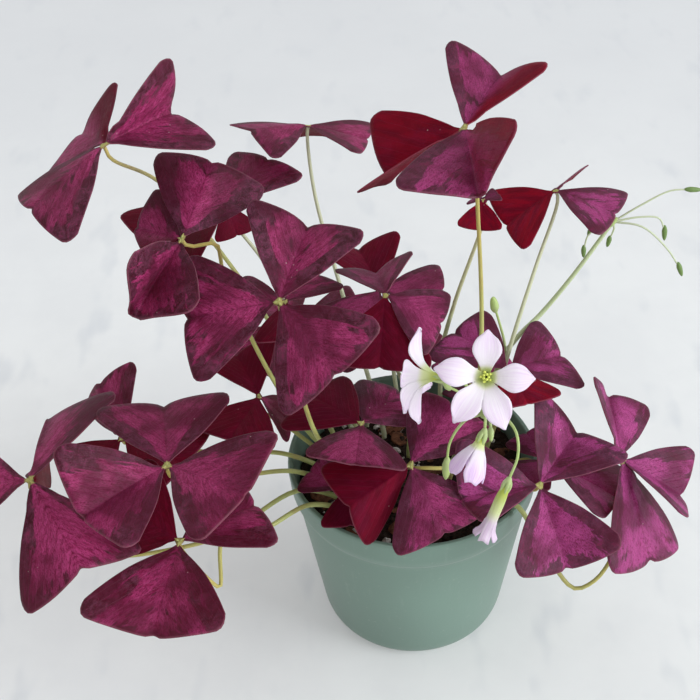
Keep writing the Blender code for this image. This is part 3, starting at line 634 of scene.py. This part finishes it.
def stalk_finish(name, low, high, flush):
    """A stalk's soft skin: one green at its foot, another at its top, fine streaks along it and a blush."""
    finish, tree, shader = new_finish(name, 0.42, 0.45)
    run, _, tone = stored(tree, "stalk_run")
    spot = place(tree)
    drawn = node(tree, "Mapping", {"Vector": spot, "Scale": (900, 900, 60)}).outputs[0]
    lines = mottle(tree, drawn, 1.0, 3.0)
    clouds = mottle(tree, spot, 60.0, 3.0)
    base = tint(tree, ease(tree, run, 0.0, 1.0), low, high)
    base = tint(tree, ease(tree, clouds, 0.48, 0.70, 0.0, 0.45), base, flush)
    base = tint(tree, ease(tree, lines, 0.35, 0.75, 0.0, 0.28), base, tuple(0.55 * c for c in low))
    base = tint(tree, ease(tree, tone, 0.0, 1.0, 0.0, 0.75), base, (0.66, 0.70, 0.55))
    base = tint(tree, ease(tree, tone, -1.0, 0.0, 0.85, 0.0), base, (0.10, 0.20, 0.04))
    tree.links.new(base, shader.inputs["Base Color"])
    emboss(tree, shader, lines, 0.0001, 0.6)
    shader.inputs["Sheen Weight"].default_value = 0.15
    let_through(tree, shader, 0.22, (0.50, 0.58, 0.14, 1))
    return finish


def stalk_piece(name, body, finish, stands_for):
    """The finished stalk in body, in place of a node."""
    points, shares, faces = body
    piece = make_mesh(name, points, faces, [finish])
    note(piece, "stalk_run", shares)
    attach(piece, "root")
    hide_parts(stands_for)


petiole_skin = stalk_finish("petiole_skin", (0.50, 0.58, 0.22), (0.56, 0.43, 0.11), (0.42, 0.24, 0.07))
for number, (foot, via, *_) in enumerate(LEAVES, 1):
    under, upward, tips = hubs[number - 1]
    path = rooted(foot, [*via, under - upward * NECK, under - upward * 0.2], 44)
    radii = FOOT_R + (TOP_R - FOOT_R) * np.linspace(0, 1, len(path)) ** 0.8
    body = ([], [], [])
    tube(body, path, radii, tone=min(1.0, max(0.0, (under[1] - 5) / 40)))
    for tip in tips:
        way = tip - under
        tube(body, [under - upward * 0.4] + [under + way * share for share in JOINT_AT], JOINT_R, 8)
    stalk_piece(f"petiole_{number:02d}", body, petiole_skin, f"leaf_{number:02d}_petiole")

# Two flower stalks rise from the mix, each to a head of thin stalklets with the flowers, buds and seed heads.
# They are fresh green, and each flower's tube sits in a cup of five pointed sepals.
OPEN_FLOWER = [(1.2, -10.0, None), (2.3, -5.5, None), (5.6, -1.6, 3.0), (11.5, 0.5, 5.6), (16.5, 0.3, 4.4),
               (20.0, -0.6, 0.9)]
NODDING_FLOWER = [(1.2, -9.0, None), (2.3, -5.5, None), (5.0, -1.0, 2.9), (7.0, 4.0, 4.2), (7.4, 7.4, 2.4)]
SPENT_FLOWER = [(1.2, -14.0, None), (1.9, -9.0, None), (2.1, 2.0, None), (2.7, 7.0, None), (4.9, 10.5, 2.2)]
# Each row of a flower has its radius, its height over the mouth and half a petal's width there, or none
# where the petals are joined. Each flower has its name, the mouth of its tube, the way it faces, its rows,
# and the turn and reach of each petal.
FLOWERS = [
    ("flower_front", (24.2, -62, 191.4), (-0.09, -0.75, 0.65), OPEN_FLOWER,
     [(-7, 1.0), (57, 1.08), (112, 1.07), (180, 0.92), (270, 0.88)]),
    ("flower_side", (-1.0, -46.5, 180.8), (-0.87, 0.46, -0.14), OPEN_FLOWER,
     [(55, 0.75), (105, 1.1), (155, 0.85), (216, 0.75), (290, 0.95)]),
    ("flower_nodding", (19.8, -68.4, 154.7), (-0.38, -0.44, -0.81), NODDING_FLOWER,
     [(10, 1.0), (82, 1.0), (154, 0.9), (226, 1.1), (298, 1.0)]),
    ("flower_spent", (27.6, -78.4, 133.6), (-0.33, -0.2, -0.92), SPENT_FLOWER,
     [(10, 1.0), (82, 1.0), (154, 1.0), (226, 1.0), (298, 1.0)]),
]


DROP_AT, DROP_SHAPE = (0, 0.12, 0.35, 0.7, 0.9, 1), (0.3, 0.7, 1.0, 0.82, 0.5, 0.12)
SEPALS = 5
SEPAL_AT, SEPAL_OUT = (0.35, 0.75, 1.0), (0.95, 1.05, 0.95)
SEPAL_R = [0.35, 0.75, 0.85, 0.8, 0.68, 0.5, 0.3, 0.08]
STALKLET_R = 0.72


def drop(body, low, high, radius, tone=0):
    """A bud, cup or seed head added to body: a small tapered solid from one point to another."""
    low, high = np.array(low, float), np.array(high, float)
    shares = np.linspace(0, 1, 10)
    shape = np.interp(shares, DROP_AT, DROP_SHAPE)
    tube(body, [low + (high - low) * s for s in shares], radius * shape, 9, tone)


def sepals(body, foot, way, radius, length):
    """Five pointed sepals added to body, clasping a tube."""
    a = unit(np.cross(way, (0.2, 0.1, 0.97)))
    b = np.cross(way, a)
    for k in range(SEPALS):
        about = 2 * math.pi * k / SEPALS
        out = math.cos(about) * a + math.sin(about) * b
        line = [foot - way * 0.5 + out * radius * 0.5]
        line += [foot + way * length * s + out * radius * r for s, r in zip(SEPAL_AT, SEPAL_OUT)]
        tube(body, smooth_path(line, len(SEPAL_R) - 1), SEPAL_R, 6)


def tube_foot(flower):
    """Where a flower's tube ends at the back, and the way the flower faces."""
    _, mouth, facing, rows, _ = flower
    way = unit(np.array(facing, float))
    return np.array(mouth, float) + way * rows[0][1], way


scape_skin = stalk_finish("scape_skin", (0.46, 0.56, 0.24), (0.46, 0.60, 0.20), (0.56, 0.64, 0.36))
umbel = (26, -47, 159)
body = ([], [], [])
stalk = rooted((16, -6), [(22, -9, 110), (26, -12, 133), (27, -28, 150), umbel], 40)
tube(body, stalk, np.linspace(1.5, 1.1, len(stalk)))
drop(body, (26, -45.3, 155.5), (26, -48.2, 162.5), 1.9)
ROUTES = [
    [(26.5, -48, 168), (25.8, -51, 179)],
    [(22, -44, 167), (16, -46, 176)],
    [(25.6, -54, 166), (24.9, -60, 169.5)],
    [(31, -55, 166), (36.3, -65, 165.5), (36.8, -71, 158.5)],
]
for route, flower in zip(ROUTES, FLOWERS):
    foot, way = tube_foot(flower)
    line = smooth_path([umbel, *route, foot - way * 3.5], 18)
    tube(body, line, np.linspace(STALKLET_R, 0.55, len(line)), 8)
    drop(body, foot - way * 4.4, foot + way * 1.2, 1.5)
    sepals(body, foot - way * 2.6, way, 1.5, 6.5)
FRONT_BUDS = [
    ([(18, -46, 168)], (12.0, -49.6, 174.6), (9.0, -51.0, 180.6), 1.4),
    ([(27.5, -55, 162)], (27.5, -57.2, 161.2), (27.5, -61, 156.6), 1.3),
    ([(19, -43, 152), (13, -43, 140)], (12.0, -43.9, 132.4), (11.2, -46.2, 121.6), 2.0),
]


def buds(body, start, table, thick=STALKLET_R, tones=(0, 0)):
    """Buds and seed heads, each on its own stalklet."""
    for route, low, high, radius in table:
        low, high = np.array(low, float), np.array(high, float)
        line = smooth_path([start, *route, low * 0.6 + high * 0.4], 16)
        tube(body, line, np.linspace(thick, 0.7 * thick, len(line)), 8, tones[0])
        drop(body, low, high, radius, tones[1])


buds(body, umbel, FRONT_BUDS)
stalk_piece("scape_front", body, scape_skin, "scape_1")

umbel = (91.7, 50, 182)
body = ([], [], [])
way_up = [(34, 20, 106), (44, 26, 129), (52, 34, 134), (60, 40, 138), (74, 44, 156)]
stalk = rooted((21, 14), [*way_up, umbel], 44)
tube(body, stalk, np.linspace(1.4, 0.9, len(stalk)), tone=0.6)
drop(body, (89.5, 49.6, 179.6), (93.6, 50.4, 184), 1.6)
buds(body, umbel, [
    ([(88.5, 50, 187.5), (84.5, 49, 186)], (82.6, 48.1, 182.6), (80.5, 47.5, 176.5), 1.2),
    ([(87, 48, 181), (81, 47, 178)], (79.1, 47, 172), (79.4, 46.6, 165.5), 1.2),
    ([(92.5, 50, 178.5)], (91.2, 50, 174.5), (90.2, 49.6, 168.6), 1.2),
    ([(104, 51, 190), (116, 52, 196)], (122, 52, 196.5), (130, 52.4, 195.6), 1.3),
    ([(103, 50, 184), (112, 50, 183)], (115, 50, 179), (115.6, 49.7, 171), 1.3),
    ([(104, 47, 181), (116, 45, 170)], (121.6, 44.1, 162.8), (124.2, 43.4, 155.4), 1.3),
], 0.5, (1, -1))
line = smooth_path([way_up[1], (41, 17, 146), (35.4, 8.4, 169.8)], 16)
tube(body, line, np.linspace(STALKLET_R, 0.5, len(line)), 8)
drop(body, (36, 9, 166), (34.5, 7.5, 175.5), 2.0)
stalk_piece("scape_back", body, scape_skin, "scape_2")

# Each flower is five thin petals joined into a short tube, nearly white with a lilac blush and fine veins,
# and green-yellow in the throat. Two are open, one nods half open and one has rolled itself up as it fades.
PETAL_THICK = 0.45
PETAL_ROWS = 20
PETAL_COLUMNS = 10


def petal_finish(name, pale, blush, green_to):
    """A petal's silky skin, green in the tube as far as a share of its length."""
    finish, tree, shader = new_finish(name, 0.5, 0.3)
    along, across, seed = stored(tree, "petal_place")
    fan = node(tree, "CombineXYZ", {"X": calc(tree, "MULTIPLY", across, 7.0),
                                    "Y": calc(tree, "MULTIPLY", along, 1.2), "Z": seed}).outputs[0]
    streaks = mottle(tree, fan, 1.0, 3.0)
    lines = calc(tree, "PINGPONG", calc(tree, "ADD", calc(tree, "MULTIPLY", across, 3.6), 0.5), 0.5)
    fading = ease(tree, along, 0.25, 0.6, 1.0, 0.25)
    veins = calc(tree, "MULTIPLY", ease(tree, lines, 0.0, 0.10, 1.0, 0.0), fading)
    base = tint(tree, ease(tree, streaks, 0.3, 0.7), blush, pale)
    base = tint(tree, ease(tree, along, 0.35, 0.85, 0.7, 0.0), base, (0.94, 0.92, 0.95))
    base = wash_over(tree, base, veins, 0.16, (0.66, 0.44, 0.68))
    base = tint(tree, ease(tree, along, green_to * 0.6, green_to, 1.0, 0.0), base, (0.74, 0.80, 0.42))
    base = tint(tree, ease(tree, along, 0.04, green_to * 0.65, 1.0, 0.0), base, (0.56, 0.66, 0.10))
    tree.links.new(base, shader.inputs["Base Color"])
    emboss(tree, shader, calc(tree, "ADD", streaks, veins), 0.0002, 0.5)
    shader.inputs["Sheen Weight"].default_value = 0.15
    let_through(tree, shader, 0.30, base)
    return finish


def petals(name, mouth, facing, rows, turns, finish):
    """The five petals on their tube, as one sheet."""
    mouth = np.array(mouth, float)
    way = unit(np.array(facing, float))
    a = unit(np.cross(way, (0.0, 0.0, 1.0)))
    b = np.cross(way, a)
    joined = sum(half is None for _, _, half in rows)
    throat = rows[joined - 1][0]
    split = (joined - 1) / (len(rows) - 1)
    around = [turns[-1][0] - 360, *[turn for turn, _ in turns], turns[0][0] + 360]
    table = np.array([(r, z, half if half else r * math.tan(math.pi / 5)) for r, z, half in rows])
    fine = smooth_path(table, 60)
    run = np.concatenate([[0], np.cumsum(np.linalg.norm(np.diff(fine, axis=0), axis=1))])
    run /= run[-1]
    points, marks, faces, levels = [], [], [], []
    for i in range(PETAL_ROWS + 1):
        g = i / PETAL_ROWS
        r, z, half = [np.interp(g, run, fine[:, k]) for k in range(3)]
        free = g > split * 0.9
        row = []
        for k, (turn, reach) in enumerate(turns):
            centre = math.radians(turn)
            seed = 3.1 * k + 0.7 * turn
            wide = throat + (r - throat) * reach if r > throat else r
            for c in range(PETAL_COLUMNS + 1):
                t = -1 + 2 * c / PETAL_COLUMNS
                out = math.cos(centre) * a + math.sin(centre) * b
                across = -math.sin(centre) * a + math.cos(centre) * b
                if free:
                    cup = 0.09 * half * t * t
                    wave = 0.35 * math.sin(3.2 * t + seed) * g ** 2 + 0.3 * math.sin(9 * g + seed) * g ** 2
                    at = wide * (1 - 0.06 * t * t) * out + half * t * across + (z + cup + wave) * way
                else:
                    beside = around[k] if t < 0 else around[k + 2]
                    about = centre + abs(t) * math.radians(beside - turn) / 2
                    at = r * (math.cos(about) * a + math.sin(about) * b) + z * way
                row.append(len(points))
                points.append(mouth + at)
                marks.append((g, t, seed))
        levels.append(row)
    wide = PETAL_COLUMNS + 1
    for low, high in zip(levels, levels[1:]):
        for k in range(len(turns)):
            for c in range(PETAL_COLUMNS):
                p = k * wide + c
                faces.append((low[p], high[p], high[p + 1], low[p + 1]))
    piece = make_mesh(name + "_petals", points, faces, [finish])
    note(piece, "petal_place", marks)
    thick = piece.modifiers.new("thickness", "SOLIDIFY")
    thick.thickness = PETAL_THICK * MM
    thick.offset = 0
    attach(piece, "root")
    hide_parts(name)


fresh = petal_finish("fresh_petal", (0.95, 0.88, 0.965), (0.88, 0.74, 0.92), 0.36)
young = petal_finish("young_petal", (0.91, 0.78, 0.94), (0.78, 0.55, 0.86), 0.30)
faded = petal_finish("faded_petal", (0.84, 0.76, 0.84), (0.70, 0.50, 0.72), 0.72)
for flower, skin in zip(FLOWERS, (fresh, fresh, young, faded)):
    petals(*flower, skin)

# Inside the tube of each open flower stand ten short stamens in two rings, yellow-green with powdery tips.
# They are fixed at the foot of the tube.
STAMENS = 10
STAMEN_TALL, STAMEN_OUT = (-2.6, -1.0), (1.9, 1.0)
pollen = speckled("stamen_yellow", (0.50, 0.60, 0.08), (0.80, 0.82, 0.22), 1500.0, 0.7, 0.0002)
for name, mouth, facing, *_ in FLOWERS[:2]:
    mouth, way = np.array(mouth, float), unit(np.array(facing, float))
    a = unit(np.cross(way, (0.0, 0.0, 1.0)))
    b = np.cross(way, a)
    body = ([], [], [])
    for k in range(STAMENS):
        about = 2 * math.pi * k / STAMENS
        out = math.cos(about) * a + math.sin(about) * b
        tip = mouth + way * STAMEN_TALL[k % 2] + out * STAMEN_OUT[k % 2]
        tube(body, [mouth - way * 8 + out * 0.4, mouth - way * 4 + out * 0.8, tip], [0.22, 0.2, 0.18], 5)
        drop(body, tip - way * 0.4, tip + way * 1.2, 0.62)
    piece = make_mesh(name + "_stamens", body[0], body[2], [pollen])
    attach(piece, "root")

# The plant stands on a plain pale floor with faint grey patches, a little greyer further back.
# The daylight is soft, and stronger and cooler from the right.
FLOOR = [(-4000, -4000, 0), (4000, -4000, 0), (4000, 6000, 0), (-4000, 6000, 0)]
floor_finish, tree, shader = new_finish("pale_floor", 0.7, 0.3)
spot = place(tree)
wash = ease(tree, mottle(tree, spot, 9.0, 5.0, 0.6), 0.3, 0.7)
base = tint(tree, wash, (0.585, 0.595, 0.605), (0.635, 0.645, 0.650))
drawn = node(tree, "Mapping", {"Vector": spot, "Scale": (46, 20, 1)}).outputs[0]
patches = ease(tree, mottle(tree, drawn, 1.0, 2.0, 0.5), 0.55, 0.78)
base = wash_over(tree, base, patches, 0.60, (0.48, 0.50, 0.53))
depth = node(tree, "SeparateXYZ", {"Vector": spot}).outputs["Y"]
base = tint(tree, ease(tree, depth, 0.10, 0.60, 0.0, 0.70), base, (0.50, 0.51, 0.53))
tree.links.new(base, shader.inputs["Base Color"])
# Painted light: the floor glows faintly in its own colour, which lifts the shadows on it.
tree.links.new(base, shader.inputs["Emission Color"])
shader.inputs["Emission Strength"].default_value = 0.28
floor = make_mesh("floor", FLOOR, [(0, 1, 2, 3)], [floor_finish], smooth=False)

sky = bpy.data.worlds.new("soft_room")
bpy.context.scene.world = sky
sky.use_nodes = True
tree = sky.node_tree
rightward = node(tree, "SeparateXYZ", {0: node(tree, "TexCoord").outputs["Generated"]}).outputs["X"]
glow = tint(tree, ease(tree, rightward, -0.8, 0.8), (0.66, 0.66, 0.66), (1.05, 1.06, 1.06))
tree.links.new(glow, tree.nodes["Background"].inputs["Color"])
tree.nodes["Background"].inputs["Strength"].default_value = 0.70


def set_at(thing, at, right, up, back):
    """A lamp or camera put at a point, with its own three axes."""
    matrix = np.eye(4)
    matrix[:3, :3] = np.column_stack([right, up, back])
    matrix[:3, 3] = at
    thing.matrix_world = Matrix(matrix.tolist())


def window(name, at, towards, width, power, colour):
    """A soft square lamp at a point in metres, turned towards another."""
    lamp = bpy.data.lights.new(name, "AREA")
    lamp.shape = "SQUARE"
    lamp.size = width
    lamp.energy = power
    lamp.color = colour
    holder = bpy.data.objects.new(name, lamp)
    bpy.context.scene.collection.objects.link(holder)
    back = unit(np.array(at, float) - np.array(towards, float))
    right = unit(np.cross((0, 0, 1), back))
    set_at(holder, at, right, np.cross(back, right), back)


window("window_right", (2.80, -0.80, 2.50), (0, 0, 0.12), 2.9, 50.0, (0.93, 0.98, 1.0))
window("window_low", (3.00, -1.10, 1.00), (0, 0, 0.08), 2.0, 74.0, (0.95, 0.99, 1.0))
window("window_front", (-1.30, -3.30, 1.75), (0, 0, 0.05), 3.5, 34.0, (1.0, 0.99, 0.98))
window("window_left", (-2.00, 1.30, 2.40), (-0.1, -0.1, 0.05), 3.1, 19.0, (0.98, 0.99, 1.0))

# The camera looks down at the plant from the front, from about 600 mm away.
VIEW_FROM = (-0.0267, -0.46097, 0.53947)
VIEW_PITCH = math.radians(39.8)
VIEW_ROLL = math.radians(-2.1)
VIEW_ANGLE = math.radians(28)
FILM_WIDTH = 36
lens = bpy.data.cameras.new("camera")
lens.sensor_width = FILM_WIDTH
lens.lens = FILM_WIDTH / 2 / math.tan(VIEW_ANGLE / 2)
lens.clip_start = 0.01
camera = bpy.data.objects.new("camera", lens)
bpy.context.scene.collection.objects.link(camera)
ahead = np.array([0, math.cos(VIEW_PITCH), -math.sin(VIEW_PITCH)])
level = np.array([1.0, 0, 0])
raised = np.cross(level, ahead)
right = math.cos(VIEW_ROLL) * level + math.sin(VIEW_ROLL) * raised
up = -math.sin(VIEW_ROLL) * level + math.cos(VIEW_ROLL) * raised
set_at(camera, VIEW_FROM, right, up, -ahead)
bpy.context.scene.camera = camera
bpy.context.scene.view_settings.view_transform = "Standard"
